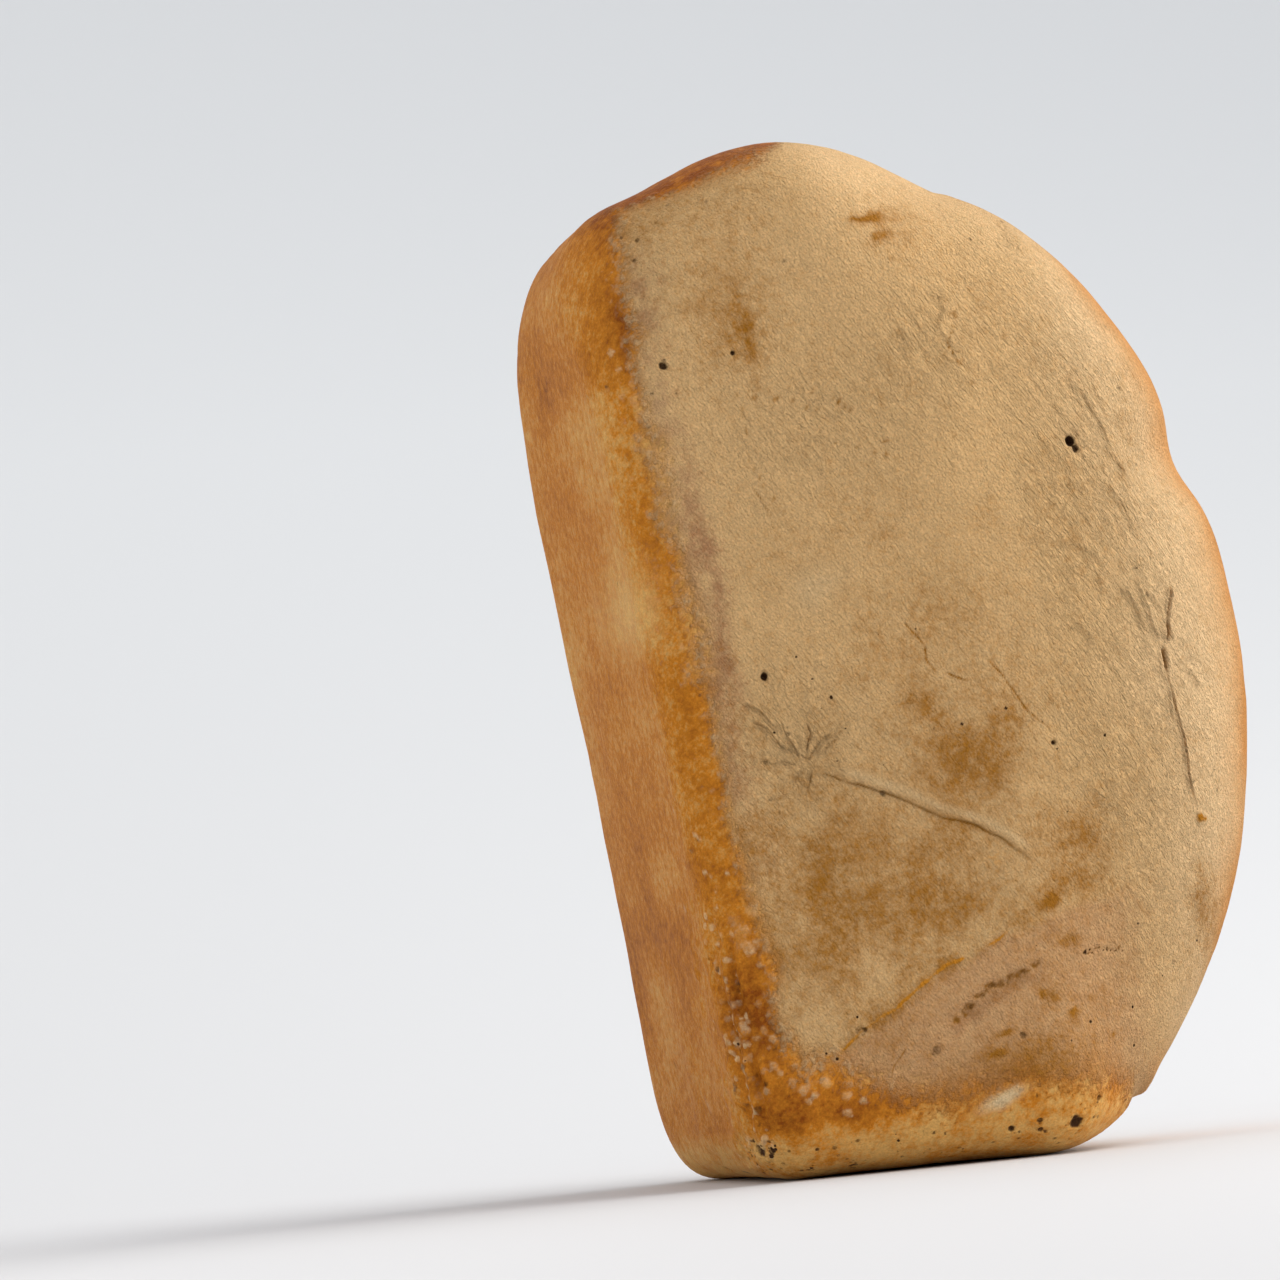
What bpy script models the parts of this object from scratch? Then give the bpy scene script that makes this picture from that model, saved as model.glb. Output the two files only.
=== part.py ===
"""Tin loaf: a white farmhouse loaf baked in an open tin, standing on its foot end.

The loaf is one baked piece, so it is one closed solid. It is shaped the way it sat in
the tin and then stood up on its foot end. In the tin, X is the length with the foot
end at +X, Y is the width, Z is the height and the base is at Z = 0. Lengths are in
millimetres and are turned into metres when the mesh is written.
"""

from math import atan2, cos, sin

import bmesh
import bpy
import numpy as np
from mathutils import Matrix

MM = 0.001

# The tin: its walls lean outwards from the base up to the rim.
RIM_HEIGHT = 92.0
RIM_WIDTH = 116.0
BASE_WIDTH = 102.0
FOOT_REACH = 114.0
FOOT_DRAFT = 10.0
HEAD_REACH = 115.0
HEAD_DRAFT = 5.4

# The dome: it springs from a level just under the rim and is highest at mid-length.
SPRING_HEIGHT = 81.3
SPRING_SLOPE = 4.1
DOME_HEIGHT = 137.3
DOME_FOOT_REACH = 110.0
DOME_HEAD_REACH = 113.0
LENGTH_POWER = 2.4
WIDTH_POWER = 4.0
DOME_FULLNESS = 0.9
DOME_SKIRT_BLEND = 0.3

# How far each blended edge reaches along its two faces; the head end is rounder.
UPRIGHT_BLEND = 18.0
UPRIGHT_HEAD_EXTRA = 8.0
BASE_BLEND = 12.0
BASE_HEAD_EXTRA = 16.0
SHOULDER_BLEND = 25.0
SHOULDER_HEAD_EXTRA = 6.0
HEAD_ZONE = (50.0, 101.0)

# Half sizes of the grid block around the loaf and of the core inside it.
BLOCK_HALF = np.array([118.0, 60.0, 72.5])
CORE_HALF = np.array([70.0, 14.0, 17.0])
CORE_HEIGHT = 61.0

# Rows of faces along the length, width and height, set closer near the edges.
ROWS = (30, 18, 20)
EDGE_CROWDING = 0.45
HALVINGS = 40

CRUST_COLOUR = "CFAA78"
CRUST_ROUGHNESS = 0.8


def smoothstep(start, end, value):
    """0 before start, 1 after end and an even S between them."""
    t = np.clip((value - start) / (end - start), 0.0, 1.0)
    return t * t * (3.0 - 2.0 * t)


def blended_max(first, second, reach):
    """The larger of two depths, rounded where they come within reach of each other."""
    mix = np.clip(0.5 + 0.5 * (first - second) / reach, 0.0, 1.0)
    return second + (first - second) * mix + reach * mix * (1.0 - mix)


def dome_top(x, y):
    """The height of the dome over a point of the tin's plan."""
    spring = SPRING_HEIGHT + SPRING_SLOPE * x / FOOT_REACH
    reach = np.where(x > 0.0, DOME_FOOT_REACH, DOME_HEAD_REACH)
    lengthwise = np.abs(x / reach) ** LENGTH_POWER
    crosswise = np.abs(2.0 * y / RIM_WIDTH) ** WIDTH_POWER
    arch = blended_max(1.0 - lengthwise - crosswise, 0.0, DOME_SKIRT_BLEND)
    return spring + (DOME_HEIGHT - spring) * np.maximum(arch, 0.0) ** DOME_FULLNESS


def outside_crust(points):
    """How far each point lies outside the crust; below zero is inside the loaf."""
    x, y, z = points.T
    below_rim = np.clip(1.0 - z / RIM_HEIGHT, 0.0, 1.0)
    head_zone = smoothstep(*HEAD_ZONE, -x)
    side = np.abs(y) - (RIM_WIDTH - (RIM_WIDTH - BASE_WIDTH) * below_rim) / 2.0
    foot = x - (FOOT_REACH - FOOT_DRAFT * below_rim)
    head = -x - (HEAD_REACH - HEAD_DRAFT * below_rim)
    end = np.maximum(foot, head)
    wall = blended_max(side, end, UPRIGHT_BLEND + UPRIGHT_HEAD_EXTRA * head_zone)
    body = blended_max(wall, -z, BASE_BLEND + BASE_HEAD_EXTRA * head_zone)
    top = z - dome_top(x, y)
    return blended_max(body, top, SHOULDER_BLEND + SHOULDER_HEAD_EXTRA * head_zone)


def crowd_to_edges(unit):
    """Move grid lines towards the block's edges, where the loaf curves most."""
    return unit + EDGE_CROWDING * np.sin(np.pi * unit) / np.pi


def loaf_points(unit):
    """Slide each point of the block along a ray from the core until it meets the crust."""
    lift = np.array([0.0, 0.0, CORE_HEIGHT])
    block = crowd_to_edges(unit) * BLOCK_HALF + np.array([0.0, 0.0, BLOCK_HALF[2]])
    core = np.clip(block - lift, -CORE_HALF, CORE_HALF) + lift
    ray = block - core
    near = np.zeros((len(unit), 1))
    far = np.full((len(unit), 1), 1.2)
    for _ in range(HALVINGS):
        middle = (near + far) / 2.0
        inside = (outside_crust(core + ray * middle) < 0.0)[:, None]
        near = np.where(inside, middle, near)
        far = np.where(inside, far, middle)
    return core + ray * far


def stand_on_foot(points):
    """Turn the loaf so its foot wall lies on the ground, centred over the origin."""
    tip = atan2(FOOT_DRAFT, RIM_HEIGHT)
    x, y, z = points.T
    stood = np.stack([z * cos(tip) + x * sin(tip), y, z * sin(tip) - x * cos(tip)], axis=1)
    low, high = stood.min(axis=0), stood.max(axis=0)
    middle = (low + high) / 2.0
    return stood - np.array([middle[0], middle[1], low[2]])


def linear_colour(code):
    """A six-digit sRGB code as linear red, green, blue and alpha."""
    channels = [int(code[i : i + 2], 16) / 255.0 for i in (0, 2, 4)]
    linear = [c / 12.92 if c <= 0.04045 else ((c + 0.055) / 1.055) ** 2.4 for c in channels]
    return (*linear, 1.0)


def clear_scene():
    """Remove every object that the file opened with."""
    for obj in list(bpy.data.objects):
        bpy.data.objects.remove(obj, do_unlink=True)


def split_along(bm, axis, rows):
    """Cut every edge that runs along one axis into this many rows."""
    edges = [e for e in bm.edges if abs(e.verts[0].co[axis] - e.verts[1].co[axis]) > 1e-6]
    bmesh.ops.subdivide_edges(bm, edges=edges, cuts=rows - 1, use_grid_fill=True)


def gridded_block():
    """A cube from -1 to 1 whose faces are grids."""
    bm = bmesh.new()
    bmesh.ops.create_cube(bm, size=2.0)
    for axis, rows in enumerate(ROWS):
        split_along(bm, axis, rows)
    return bm


def crust_material():
    """Matt tan bread crust."""
    material = bpy.data.materials.new("crust")
    material.use_nodes = True
    shader = material.node_tree.nodes["Principled BSDF"]
    shader.inputs["Base Color"].default_value = linear_colour(CRUST_COLOUR)
    shader.inputs["Roughness"].default_value = CRUST_ROUGHNESS
    shader.inputs["Metallic"].default_value = 0.0
    return material


def build_loaf(collection):
    """The whole loaf as one closed mesh object."""
    bm = gridded_block()
    unit = np.array([vert.co[:] for vert in bm.verts])
    for vert, point in zip(bm.verts, stand_on_foot(loaf_points(unit))):
        vert.co = point
    bmesh.ops.transform(bm, matrix=Matrix.Scale(MM, 4), verts=bm.verts)
    bmesh.ops.recalc_face_normals(bm, faces=bm.faces)
    for face in bm.faces:
        face.smooth = True
    mesh = bpy.data.meshes.new("loaf")
    bm.to_mesh(mesh)
    bm.free()
    mesh.materials.append(crust_material())
    loaf = bpy.data.objects.new("loaf", mesh)
    collection.objects.link(loaf)
    return loaf


def main():
    clear_scene()
    collection = bpy.data.collections.new("tin_loaf")
    bpy.context.scene.collection.children.link(collection)
    build_loaf(collection)


main()
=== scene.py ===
"""Tin loaf: the crust's true shape and look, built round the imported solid.

The loaf is shaped the way it sat in its tin and then stood on its foot end. In the
tin, X is the length with the foot end at +X, Y is the width with the near wall at -Y,
Z is the height and the base is at Z = 0. Those places are in millimetres.
"""

from math import atan2, cos, radians, sin

import bmesh
import bpy
import numpy as np
from mathutils import Matrix, Vector, kdtree


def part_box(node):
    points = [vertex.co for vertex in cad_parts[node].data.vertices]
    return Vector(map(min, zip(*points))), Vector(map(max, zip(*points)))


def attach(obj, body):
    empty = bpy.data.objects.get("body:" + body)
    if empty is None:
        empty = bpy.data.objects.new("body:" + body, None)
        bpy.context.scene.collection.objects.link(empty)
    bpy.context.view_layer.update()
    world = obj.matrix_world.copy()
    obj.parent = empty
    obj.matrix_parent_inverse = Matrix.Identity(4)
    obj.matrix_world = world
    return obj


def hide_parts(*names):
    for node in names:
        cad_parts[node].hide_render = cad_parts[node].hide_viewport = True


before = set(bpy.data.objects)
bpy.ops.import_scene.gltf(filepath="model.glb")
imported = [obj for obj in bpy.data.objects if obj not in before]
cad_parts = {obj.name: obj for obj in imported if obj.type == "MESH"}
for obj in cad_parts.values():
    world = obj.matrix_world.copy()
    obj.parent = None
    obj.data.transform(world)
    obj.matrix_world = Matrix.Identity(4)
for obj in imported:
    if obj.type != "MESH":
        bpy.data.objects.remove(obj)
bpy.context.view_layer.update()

bl_info = {
    "name": "Tin Loaf",
    "version": (1, 0, 0),
    "blender": (4, 5, 0),
    "location": "3D View > Sidebar > Tin Loaf",
    "description": "Builds a tin loaf with a wrinkled, floury crust and its studio",
    "category": "Add Mesh",
}

MM = 0.001

# The loaf's smooth form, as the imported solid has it.
RIM_HEIGHT = 92.0
RIM_WIDTH = 116.0
BASE_WIDTH = 102.0
FOOT_REACH = 114.0
FOOT_DRAFT = 10.0
HEAD_REACH = 115.0
HEAD_DRAFT = 5.4
SPRING_HEIGHT = 81.3
SPRING_SLOPE = 4.1
DOME_HEIGHT = 137.3
DOME_FOOT_REACH = 110.0
DOME_HEAD_REACH = 113.0
LENGTH_POWER = 2.4
WIDTH_POWER = 4.0
DOME_FULLNESS = 0.9
DOME_SKIRT_BLEND = 0.3
UPRIGHT_BLEND = 18.0
UPRIGHT_HEAD_EXTRA = 8.0
BASE_BLEND = 12.0
BASE_HEAD_EXTRA = 16.0
SHOULDER_BLEND = 25.0
SHOULDER_HEAD_EXTRA = 6.0
HEAD_ZONE = (50.0, 101.0)
BLOCK_HALF = np.array([118.0, 60.0, 72.5])
CORE_HALF = np.array([70.0, 14.0, 17.0])
CORE_HEIGHT = 61.0
EDGE_CROWDING = 0.45
HALVINGS = 30

# Grid rows of the block. The near side is cut finer, but for its calm middle, finer still
# by the drawn marks and in the wrinkled patches, and finest on the thin lines.
ROWS = (70, 36, 46)
NEAR_SIDE = -26.0
NEAR_WALL = -42.0
CALM_PATCH = (-120, 24, -4, 87)
WRINKLED_PATCHES = ((-72, 62, -52, 78), (-30, 104, -16, 111), (2, 107, 20, 120))
MARK_REACH = 1.5
THIN_LINE_REACH = 0.55
NEAR_EDGE = NEAR_WALL + 14.0

# Marks on the near wall, each as (along the length, height).
STAR_RAYS = (
    ((20.5, 26), (17.5, 29.5), (15, 33), (12.5, 36.5)), ((19, 28.5), (16.5, 31.5), (14, 37)),
    ((20.5, 26), (19, 27), (16, 22), (11.5, 20), (8.5, 16)),
    ((20, 25.5), (17, 25), (13, 23.5), (9, 23)), ((20.5, 26), (18, 18), (17.5, 14.5)),
    ((21, 26.5), (22.5, 24.5), (26, 20.5), (26.5, 17.5)),
    ((21.5, 27.5), (24, 26.5), (26.5, 24.5)), ((12, 28), (14.5, 28.5), (18.5, 27.2)),
    ((15.5, 35), (17.5, 32), (19.5, 29)), ((5, 16), (8, 19.5), (12, 22)),
)
LONG_CREASE = (
    (20.5, 27), (23, 29.5), (26.5, 36), (31.5, 45), (36.5, 52),
    (40.5, 60), (43.5, 63.5), (49.5, 69.5), (51, 72),
)
SHOULDER_CREASE = (
    (10, 110.5), (14, 110), (18, 110), (24, 110), (30, 110.5), (38, 110), (46, 111),
)
UPPER_CREASE = ((-2.5, 115.5), (1.5, 114.5), (5, 113), (8, 112), (10, 111.5))
SHOULDER_RAYS = (
    ((9, 114), (12, 119.5)), ((12.5, 115.5), (15.5, 120), (18.5, 122.5)),
    ((15.5, 111.5), (20, 114)), ((13, 112.5), (16, 116), (21, 118)), ((-1, 110), (3.5, 112.5)),
    ((-6, 106), (-2, 107.5), (2, 108.5), (6, 109), (9.5, 109.7)),
    ((-4, 103.5), (2, 105.5), (7, 107.5)), ((14, 108), (20, 109), (27, 108.5)),
    ((-31, 109), (-27, 111.5)), ((-48, 104), (-38, 107.5), (-29, 110)),
    ((-26, 105), (-21, 108), (-14, 110.5)), ((-17, 91), (-14.5, 92)),
    ((-15.5, 93), (-13, 96), (-10.5, 99)), ((-10.5, 90), (-8, 93)), ((2, 90), (7, 95)),
    ((-75, 75), (-70, 77), (-64, 73.5)), ((-58, 74), (-54, 76.5)), ((-66, 65), (-61, 66.5)),
)
# The first few hair cracks are the sharpest, and the block is cut finest along them.
SHARP_CRACKS = 7
HAIR_CRACKS = (
    ((-39, 27), (-36, 28.5), (-32, 30)), ((1, 56.5), (4, 56), (7, 57.5)),
    ((-5, 53), (-1, 55.2), (1, 56.5)), ((7.5, 59.5), (9, 62), (10, 65)),
    ((5, 68.5), (9, 70.5), (13, 72.5), (18.5, 75), (24, 80)), ((82, 35), (85, 32), (88, 30)),
    ((-45, 45), (-43, 52), (-43, 60)),
    ((-57.3, 29), (-44.7, 27.9), (-37.9, 30.3), (-28.7, 34.4)),
    ((-42.9, 52.2), (-40, 57), (-38.1, 61.7)),
    ((-59, 38.1), (-55.6, 45.9), (-51.5, 51.3), (-46.1, 52)),
    ((-58.7, 27.2), (-55.6, 39.4), (-47.8, 48.1)),
    ((-74, 78), (-67, 79), (-61.5, 75.5), (-54.5, 78), (-50, 80)),
)
SEAM_FOLD = (
    (81, 18), (79.5, 22), (77, 26), (75, 31), (72.5, 37), (69.5, 42), (67, 46.5),
    (66.5, 50.5), (65.5, 53.5), (64.5, 57), (63, 60), (61, 64), (58.5, 72),
)
DENT_ARC = ((80.5, 46.5), (78, 50), (76, 54), (75, 58), (74, 62), (73, 66))
# Two pits where the shoulder crease folds over.
FOLD_PITS = (
    ((5.5, 112.8), (7.5, 112.4), (9, 112.2)),
    ((10, 110.4), (12.5, 110.2), (15.5, 109.9)),
)
# A torn, serrated edge over the dent, darkened below it with painted shadow, and a row of
# burnt dots beyond it.
TORN_EDGE = ((79, 46), (77, 49), (75, 52), (73.8, 54.5), (73, 58), (72.3, 61), (71, 66))
BURNT_DOTS = ((70.8, 77), (70.4, 79), (70.6, 81), (71.2, 84), (71.4, 86.5))
BASE_EDGE_CREASES = (
    ((47, 1.5), (60, 1), (74, 1.6), (88, 1.2), (103, 1.6)),
    ((52, 4), (62, 3.2), (72, 3.8)),
    ((76, 3), (84, 4.2), (93, 3.4)),
)
# Each hole: along, height, radius, depth.
HOLES = (
    (-36.8, 98.9, 1.3, 1.7), (-35.0, 99.7, 1.0, 0.8), (-67.5, 14, 0.9, 0.8),
    (-67.5, 29, 0.6, 0.8), (0.5, 21.6, 0.85, 1.1), (26, 79.5, 0.6, 0.7),
    (103.5, 54, 1.0, 0.8), (103, 60, 0.7, 0.6), (105, 60, 0.7, 0.6),
    (105, 68, 1.7, 1.0), (101, 74, 0.8, 0.5), (84.5, 59.5, 0.9, 0.3),
    (84, 41, 1.2, 0.25), (97, 2.5, 1.8, 0.9), (102, 3.0, 1.3, 0.8), (77, 26, 1.3, 0.1),
)
SPECKS = (
    (21.3, 78), (27.5, 80), (26.5, 91.5), (39.5, 74.5), (41, 79.5), (7.5, 34.5),
    (9.5, 32), (3, 31.5), (-2, 29), (-3.5, 47), (-3, 55), (18.5, 60.5), (23.5, 42.5),
    (74, 26), (84, 87), (79, 96), (73.5, 107), (92, 86), (99.5, 29.5), (101, 30),
    (17, 70.5), (66, 2), (72, 2.2), (74.5, 1.6), (78, 2.6), (80, 2), (95, 1.5),
    (98.5, 4), (88, 70), (85, 75.5), (-87, 99), (80, 18), (81.5, 20), (67, 66.5),
    (67, 91.5), (12.5, 21.3), (14.5, 36), (21, 33), (103, 12), (104.5, 21), (106, 44),
)
# Each blister: along, height, radius.
BLISTERS = (
    (-63, 5, 1.0), (-52, 5, 0.8), (-73, 5, 1.1), (-69, 5.5, 0.9), (48, 9, 1.3),
    (51, 6.5, 1.1), (55, 7, 1.9), (56.5, 10.5, 1.0), (67, 6.5, 0.9), (67.5, 9.3, 0.9),
    (72.5, 6.5, 0.9), (75, 8, 1.0), (72, 3.5, 1.2), (78, 2.5, 0.9), (85, 4.5, 1.0),
    (89, 12.5, 0.9), (88, 14, 1.0), (86, 17, 1.4), (89.5, 20.5, 1.2), (91, 24, 0.9),
    (86, 12, 1.3), (93, 20, 1.1), (82, 8, 0.8), (70, 8, 0.7),
)
# Where the pale skin ends: its two ends by height, and its lower edge by length.
SKIN_FOOT_LINE = (
    (0, 78), (12, 79.5), (20, 81), (26, 86), (30, 88), (40, 90.5), (60, 93), (78, 96),
    (86, 100), (90, 140),
)
SKIN_HEAD_LINE = ((0, -103), (22, -104), (30, -104), (40, -106.5), (50, -109), (62, -130))
SKIN_BASE_LINE = (
    (-115, 20), (-100, 14), (-95, 12.5), (-90, 11.5), (-80, 11), (-70, 10), (-60, 10.5),
    (-50, 9.5), (-20, 9), (10, 10.5), (40, 10), (50, 11), (60, 12.5), (70, 10.5), (80, 12),
)
# Brown stains on the skin: along, height, half length, half height, strength.
STAINS = (
    (-71, 33, 12, 1.8, 0.4), (-75, 30, 14, 9, 0.42), (13.5, 53, 4, 6, 0.30),
    (27, 66, 9, 8, 0.42), (24, 55, 8, 6, 0.25), (19, 70, 3, 3, 0.3), (46, 82, 8, 9, 0.42),
    (52, 38, 12, 20, 0.24), (58, 55, 5, 9, 0.3), (-25, 76, 5, 5, 0.22),
    (58.5, 72, 1.6, 2.2, 0.6), (56, 80, 3, 8, 0.35), (65, 110, 10, 4, 0.5),
    (38, 55, 7, 6, 0.18), (45, 22, 10, 5, 0.16), (90, 62, 6, 8, 0.3), (74, 31, 3, 3, 0.25),
    (-91, 63.7, 0.9, 3.2, 1.0), (-91, 69, 1.6, 5, 0.4), (-87, 66, 1.5, 2, 0.6),
    (-89, 70, 7, 12, 0.22), (82.4, 71.8, 1.0, 1.4, 0.8), (77.2, 65.5, 0.7, 0.9, 0.8),
    (87.2, 53.3, 0.8, 2.2, 0.5), (89, 81, 0.6, 0.9, 0.8), (83.3, 56, 0.5, 2.0, 0.9),
    (78, 68, 2.0, 2.4, 0.45), (67, 74, 1.6, 3, 0.45),
)


# The stage, in metres. The lights and the view are placed from the loaf's middle.
FLOOR_HALF = 6.0
FLOOR_RISE_START = 0.3
FLOOR_RISE = 0.16
KEY_SIZE = 1.6
KEY_PLACE = Vector((1.05, -0.28, 0.8))
KEY_COLOUR = (1.0, 0.97, 0.93)
GLINT_SIZE = 0.8
GLINT_PLACE = Vector((-0.9, -0.1, 0.35))
GLINT_COLOUR = (1.0, 0.96, 0.9)
VIEW_ASIDE = 0.0566
VIEW_BELOW = -0.0046


def hex_colour(code):
    """The linear colour of a six-digit sRGB code."""
    channels = [int(code[i : i + 2], 16) / 255.0 for i in (0, 2, 4)]
    return [c / 12.92 if c <= 0.04045 else ((c + 0.055) / 1.055) ** 2.4 for c in channels]


def number_property(name, description, default, unit="LENGTH", **more):
    """A number that a user can change, in metres unless its unit says otherwise."""
    return bpy.props.FloatProperty(
        name=name, description=description, default=default, unit=unit, precision=5, **more
    )


def colour_property(name, description, code):
    """A colour that a user can change."""
    return bpy.props.FloatVectorProperty(
        name=name, description=description, subtype="COLOR", size=3,
        min=0.0, max=1.0, default=hex_colour(code),
    )


class LoafCrustSettings(bpy.types.PropertyGroup):
    """Sizes and colours of the baked crust."""

    crease_depth: number_property("Crease depth", "Depth of the drawn creases", 0.00065)
    wrinkle_height: number_property("Wrinkle height", "Height of the fine wrinkles", 0.00034)
    blister_height: number_property("Blister height", "Height of the small blisters", 0.0003)
    unevenness: number_property("Unevenness", "Height of the broad lumps", 0.0006)
    rim_lip: number_property("Rim lip", "How far the dome stands over the tin line", 0.0014)
    grain: number_property("Skin grain", "Width of the skin's leathery grain", 0.00045)
    skin: colour_property("Skin", "Pale floury skin", "DAB17B")
    # The shoulder colour is partly paler skin and partly a painted highlight: the upper skin,
    # shoulder and dome are painted lighter where light from above and the right falls.
    shoulder: colour_property("Shoulder", "Skin warmed by the oven's heat", "EAC594")
    stain: colour_property("Stain", "Toasted patches on the skin", "A26A20")
    pink: colour_property("Stretched skin", "Skin that tore and baked later", "C99A6B")
    # The stain colour is also painted shade: in the creases and wrinkle hollows, along the
    # seam fold and under the torn edge.
    lilac: colour_property("Mottle", "Grey bloom by the base edge", "AC7E58")
    flour: colour_property("Flour", "Dry flour and pale blisters", "D9BE92")
    ember: colour_property("Seam", "Orange dough squeezed through", "C98425")
    char: colour_property("Char", "Burnt specks and holes", "3E2715")
    blush: colour_property("Blush", "Orange where the skin turns over the dome", "D08A42")
    # The char colour is also painted shade inside the holes and under the torn edge.
    tan: colour_property("Light crust", "Least baked crust", "D0A15C")
    gold: colour_property("Golden crust", "Glossy golden crust", "BA7420")
    brown: colour_property("Dark crust", "Most baked crust", "7C3F0C")


class LoafStageSettings(bpy.types.PropertyGroup):
    """The studio round the loaf."""

    floor: colour_property("Floor", "Pale seamless floor", "C9C8C8")
    backdrop: colour_property("Backdrop", "Floor where it rises behind", "E4E4E3")
    sky: colour_property("Fill light", "Colour of the soft light all round", "EAEDF2")
    fill: number_property("Fill", "Strength of the soft light", 0.93, "NONE")
    key: number_property("Key", "Power of the large light", 25.5, "POWER")
    glint: number_property("Glint", "Power of the small light by the base", 2.2, "POWER")
    distance: number_property("Distance", "From the camera to the loaf's middle", 0.9989)
    azimuth: number_property(
        "Azimuth", "Camera's turn to the right of +Y", radians(12.04), "ROTATION"
    )
    elevation: number_property(
        "Elevation", "How far the camera looks up", radians(5.44), "ROTATION"
    )
    roll: number_property("Roll", "Camera's lean to its right", radians(5.62), "ROTATION")
    lens: number_property("Lens", "Focal length in millimetres", 126.27, "NONE", min=1.0)


def smoothstep(start, end, value):
    """0 before start, 1 after end and an even S between them."""
    t = np.clip((value - start) / (end - start), 0.0, 1.0)
    return t * t * (3.0 - 2.0 * t)


def blended_max(first, second, reach):
    """The larger of two depths, rounded where they come within reach of each other."""
    mix = np.clip(0.5 + 0.5 * (first - second) / reach, 0.0, 1.0)
    return second + (first - second) * mix + reach * mix * (1.0 - mix)


def dome_top(x, y):
    """The height of the dome over a point of the tin's plan."""
    spring = SPRING_HEIGHT + SPRING_SLOPE * x / FOOT_REACH
    reach = np.where(x > 0.0, DOME_FOOT_REACH, DOME_HEAD_REACH)
    lengthwise = np.abs(x / reach) ** LENGTH_POWER
    crosswise = np.abs(2.0 * y / RIM_WIDTH) ** WIDTH_POWER
    arch = blended_max(1.0 - lengthwise - crosswise, 0.0, DOME_SKIRT_BLEND)
    return spring + (DOME_HEIGHT - spring) * np.maximum(arch, 0.0) ** DOME_FULLNESS


def outside_crust(points):
    """How far each point lies outside the crust; below zero is inside the loaf."""
    x, y, z = points.T
    below_rim = np.clip(1.0 - z / RIM_HEIGHT, 0.0, 1.0)
    head_zone = smoothstep(*HEAD_ZONE, -x)
    side = np.abs(y) - (RIM_WIDTH - (RIM_WIDTH - BASE_WIDTH) * below_rim) / 2.0
    foot = x - (FOOT_REACH - FOOT_DRAFT * below_rim)
    head = -x - (HEAD_REACH - HEAD_DRAFT * below_rim)
    end = np.maximum(foot, head)
    wall = blended_max(side, end, UPRIGHT_BLEND + UPRIGHT_HEAD_EXTRA * head_zone)
    body = blended_max(wall, -z, BASE_BLEND + BASE_HEAD_EXTRA * head_zone)
    top = z - dome_top(x, y)
    return blended_max(body, top, SHOULDER_BLEND + SHOULDER_HEAD_EXTRA * head_zone)


def outward(points):
    """The crust's outward direction at each point."""
    slopes = []
    for axis in range(3):
        nudge = np.zeros(3)
        nudge[axis] = 0.4
        slopes.append(outside_crust(points + nudge) - outside_crust(points - nudge))
    slopes = np.stack(slopes, axis=1)
    return slopes / np.linalg.norm(slopes, axis=1, keepdims=True)


def loaf_points(unit):
    """Slide each point of the block along a ray from the core until it meets the crust."""
    crowded = unit + EDGE_CROWDING * np.sin(np.pi * unit) / np.pi
    lift = np.array([0.0, 0.0, CORE_HEIGHT])
    block = crowded * BLOCK_HALF + np.array([0.0, 0.0, BLOCK_HALF[2]])
    core = np.clip(block - lift, -CORE_HALF, CORE_HALF) + lift
    ray = block - core
    near = np.zeros((len(unit), 1))
    far = np.full((len(unit), 1), 1.2)
    for _ in range(HALVINGS):
        middle = (near + far) / 2.0
        inside = (outside_crust(core + ray * middle) < 0.0)[:, None]
        near = np.where(inside, middle, near)
        far = np.where(inside, far, middle)
    return core + ray * far


def turned_to_foot(points):
    """Turn tin places so that the foot wall lies level, facing down."""
    tip = atan2(FOOT_DRAFT, RIM_HEIGHT)
    x, y, z = points.T
    return np.stack([z * cos(tip) + x * sin(tip), y, z * sin(tip) - x * cos(tip)], axis=1)


def lumps(points, size, seed):
    """Smooth random values from -1 to 1, in lumps of this size, or of one size per axis."""
    scaled = points / np.asarray(size, dtype=float) + 31.7 * seed
    cell = np.floor(scaled).astype(np.int64)
    part = scaled - cell
    part = part * part * (3.0 - 2.0 * part)
    total = np.zeros(len(points))
    for corner in np.ndindex(*(2,) * points.shape[1]):
        key = np.full(len(points), seed * 9176 + 77, dtype=np.int64)
        for axis, step in enumerate(corner):
            key = (key ^ (cell[:, axis] + step)) * 1103515245 + 12345
            key = (key ^ (key >> 15)) & 0x7FFFFFFF
        weight = np.where(corner, part, 1.0 - part).prod(axis=1)
        total += weight * ((key >> 7) % 4096 / 2047.5 - 1.0)
    return total


def stroke(flat, path):
    """Each point's distance from the path, and how far along it the point is, from 0 to 1."""
    path = np.array(path, dtype=float)
    steps = np.linalg.norm(np.diff(path, axis=0), axis=1)
    reached = np.concatenate([[0.0], np.cumsum(steps)]) / steps.sum()
    gap = np.full(len(flat), 1e3)
    share = np.zeros(len(flat))
    for start, end, first, last in zip(path, path[1:], reached, reached[1:]):
        line = end - start
        part = np.clip((flat - start) @ line / (line @ line), 0.0, 1.0)
        here = np.linalg.norm(flat - start - part[:, None] * line, axis=1)
        closer = here < gap
        gap = np.where(closer, here, gap)
        share = np.where(closer, first + (last - first) * part, share)
    return gap, share


def bell(gap, width):
    """1 at no distance, falling to nothing over about twice the width."""
    return np.exp(-((gap / width) ** 2))


def oval(flat, x, z, half_x, half_z):
    """1 in the middle of an oval patch, falling to nothing round it."""
    return np.exp(-(((flat[:, 0] - x) / half_x) ** 2) - ((flat[:, 1] - z) / half_z) ** 2)


def line_of(pairs, value):
    """The second number of the pairs, read at this value of the first."""
    first, second = np.array(pairs, dtype=float).T
    return np.interp(value, first, second)


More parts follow.
